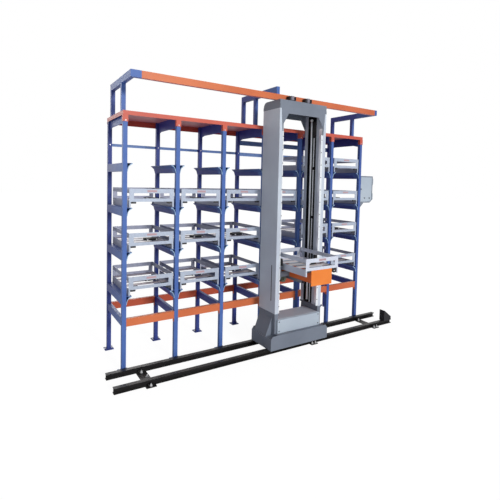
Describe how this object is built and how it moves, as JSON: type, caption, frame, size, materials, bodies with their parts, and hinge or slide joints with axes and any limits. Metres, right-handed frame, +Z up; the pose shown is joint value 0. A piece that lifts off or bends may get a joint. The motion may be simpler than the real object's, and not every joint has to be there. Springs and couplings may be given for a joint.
{
  "type": "automated tray rack with stacker crane",
  "caption": "Automated storage rack of steel bays with sheet-metal trays, served by a rail-guided crane with a lifting carriage and telescopic fork.",
  "frame": {"origin": "underside centre of the front left foot plate, on the floor", "axes": "+X along the rack, +Y from the aisle into the rack, +Z up"},
  "size_m": [4.478, 1.7075, 3.569],
  "materials": {
    "rack_blue": "semi-gloss powder coat",
    "rack_orange": "semi-gloss powder coat",
    "carriage_orange": "semi-gloss powder coat",
    "rail_black": "satin paint",
    "mast_grey": "satin powder coat",
    "dark_grey": "satin powder coat",
    "cabinet_grey": "fine textured powder coat",
    "motor_green": "satin paint",
    "cast_black": "as cast, painted",
    "guide_steel": "ground",
    "bolt_zinc": "bright zinc",
    "tray_zinc": "galvanised",
    "fork_aluminium": "anodised",
    "roller_plastic": "matt"
  },
  "bodies": {
    "rack": {"rack_frame_1": "rack_blue", "rack_frame_2": "rack_blue", "rack_frame_3": "rack_blue", "rack_frame_4": "rack_blue", "rack_frame_5": "rack_blue", "rack_frame_6": "rack_blue", "rack_frame_7": "rack_blue", "roof": "rack_orange", "post_caps": "rack_orange", "lower_beams": "rack_orange", "rear_ties": "rack_blue", "tie_bolts": "bolt_zinc", "rail_bracket_left": "rack_blue", "rail_bracket_middle": "rack_blue", "rail_bracket_right": "rack_blue", "overhead_rail": "rack_orange", "floor_rails": "rail_black", "rail_sleepers": "rail_black", "sleeper_bolts": "bolt_zinc", "end_stop": "cast_black", "cabinet_box": "cabinet_grey", "cabinet_bracket": "dark_grey", "trays_bays_3_4": "tray_zinc", "trays_bays_5_6": "tray_zinc"},
    "crane": {"crane_skirt": "dark_grey", "crane_deck": "dark_grey", "axle_blocks": "cast_black", "column_pedestals": "dark_grey", "column_left": "mast_grey", "column_right": "mast_grey", "column_crown": "dark_grey", "crown_plates": "dark_grey", "guide_rails": "guide_steel", "cover_panel": "cabinet_grey", "cover_box": "mast_grey", "travel_gearmotor": "motor_green", "screw_journals": "cast_black", "roller_seats": "dark_grey"},
    "carriage": {"carriage_frame": "dark_grey", "carriage_bed": "carriage_orange", "fork_fixed_stage": "dark_grey", "fork_gearmotor": "motor_green"},
    "fork_middle": {"fork_middle_stage": "fork_aluminium"},
    "fork_top": {"fork_top_stage": "fork_aluminium", "carriage_tray": "tray_zinc"},
    "wheels_left": {"wheelset_left": "guide_steel"},
    "wheels_right": {"wheelset_right": "guide_steel"},
    "screw_left": {"lift_screw_left": "guide_steel"},
    "screw_right": {"lift_screw_right": "guide_steel"},
    "door": {"cabinet_door": "cabinet_grey"},
    "roller_front_left": {"guide_roller_front_left": "roller_plastic"},
    "roller_back_left": {"guide_roller_back_left": "roller_plastic"},
    "roller_front_right": {"guide_roller_front_right": "roller_plastic"},
    "roller_back_right": {"guide_roller_back_right": "roller_plastic"},
    "pull_bay_1_level_1": {"tray_bay_1_level_1": "tray_zinc"},
    "pull_bay_1_level_2": {"tray_bay_1_level_2": "tray_zinc"},
    "pull_bay_1_level_3": {"tray_bay_1_level_3": "tray_zinc"},
    "pull_bay_2_level_1": {"tray_bay_2_level_1": "tray_zinc"},
    "pull_bay_2_level_2": {"tray_bay_2_level_2": "tray_zinc"},
    "pull_bay_2_level_3": {"tray_bay_2_level_3": "tray_zinc"}
  },
  "joints": [
    {"name": "crane_travel", "type": "slide", "parent": "rack", "child": "crane", "axis": [1, 0, 0], "range_m": [-1.95, 1.3]},
    {"name": "carriage_lift", "type": "slide", "parent": "crane", "child": "carriage", "axis": [0, 0, 1], "range_m": [-0.26, 1.622]},
    {"name": "fork_extend", "type": "slide", "parent": "carriage", "child": "fork_middle", "axis": [0, 1, 0], "range_m": [0, 0.4475]},
    {"name": "fork_top_slide", "type": "slide", "parent": "fork_middle", "child": "fork_top", "axis": [0, 1, 0], "range_m": [0, 0.4475]},
    {"name": "wheels_left_roll", "type": "hinge", "parent": "crane", "child": "wheels_left", "pos_m": [1.915, -0.455, 0.1253], "axis": [0, 1, 0], "continuous": true},
    {"name": "wheels_right_roll", "type": "hinge", "parent": "crane", "child": "wheels_right", "pos_m": [2.635, -0.455, 0.1253], "axis": [0, 1, 0], "continuous": true},
    {"name": "screw_left_turn", "type": "hinge", "parent": "crane", "child": "screw_left", "pos_m": [1.899, -0.205, 1.86], "axis": [0, 0, 1], "continuous": true},
    {"name": "screw_right_turn", "type": "hinge", "parent": "crane", "child": "screw_right", "pos_m": [2.651, -0.205, 1.86], "axis": [0, 0, 1], "continuous": true},
    {"name": "roller_front_left_spin", "type": "hinge", "parent": "crane", "child": "roller_front_left", "pos_m": [2.153, -0.3423, 3.428], "axis": [0, 0, 1], "continuous": true},
    {"name": "roller_back_left_spin", "type": "hinge", "parent": "crane", "child": "roller_back_left", "pos_m": [2.153, -0.2197, 3.428], "axis": [0, 0, 1], "continuous": true},
    {"name": "roller_front_right_spin", "type": "hinge", "parent": "crane", "child": "roller_front_right", "pos_m": [2.435, -0.3423, 3.428], "axis": [0, 0, 1], "continuous": true},
    {"name": "roller_back_right_spin", "type": "hinge", "parent": "crane", "child": "roller_back_right", "pos_m": [2.435, -0.2197, 3.428], "axis": [0, 0, 1], "continuous": true},
    {"name": "door_swing", "type": "hinge", "parent": "rack", "child": "door", "pos_m": [4.244, -0.003, 2.2], "axis": [0, 0, 1], "range_deg": [0, 110]},
    {"name": "slide_bay_1_level_1", "type": "slide", "parent": "rack", "child": "pull_bay_1_level_1", "axis": [0, -1, 0], "range_m": [0, 0.45]},
    {"name": "slide_bay_1_level_2", "type": "slide", "parent": "rack", "child": "pull_bay_1_level_2", "axis": [0, -1, 0], "range_m": [0, 0.45]},
    {"name": "slide_bay_1_level_3", "type": "slide", "parent": "rack", "child": "pull_bay_1_level_3", "axis": [0, -1, 0], "range_m": [0, 0.45]},
    {"name": "slide_bay_2_level_1", "type": "slide", "parent": "rack", "child": "pull_bay_2_level_1", "axis": [0, -1, 0], "range_m": [0, 0.45]},
    {"name": "slide_bay_2_level_2", "type": "slide", "parent": "rack", "child": "pull_bay_2_level_2", "axis": [0, -1, 0], "range_m": [0, 0.45]},
    {"name": "slide_bay_2_level_3", "type": "slide", "parent": "rack", "child": "pull_bay_2_level_3", "axis": [0, -1, 0], "range_m": [0, 0.45]}
  ],
  "couplings": [
    {"joint": "fork_top_slide", "follows": "fork_extend", "ratio": 1},
    {"joint": "wheels_left_roll", "follows": "crane_travel", "rad_per_m": 16.667},
    {"joint": "wheels_right_roll", "follows": "crane_travel", "rad_per_m": 16.667},
    {"joint": "screw_left_turn", "follows": "carriage_lift", "rad_per_m": 157.08},
    {"joint": "screw_right_turn", "follows": "carriage_lift", "rad_per_m": 157.08},
    {"joint": "roller_front_left_spin", "follows": "crane_travel", "rad_per_m": 27.778},
    {"joint": "roller_back_left_spin", "follows": "crane_travel", "rad_per_m": -27.778},
    {"joint": "roller_front_right_spin", "follows": "crane_travel", "rad_per_m": 27.778},
    {"joint": "roller_back_right_spin", "follows": "crane_travel", "rad_per_m": -27.778}
  ]
}
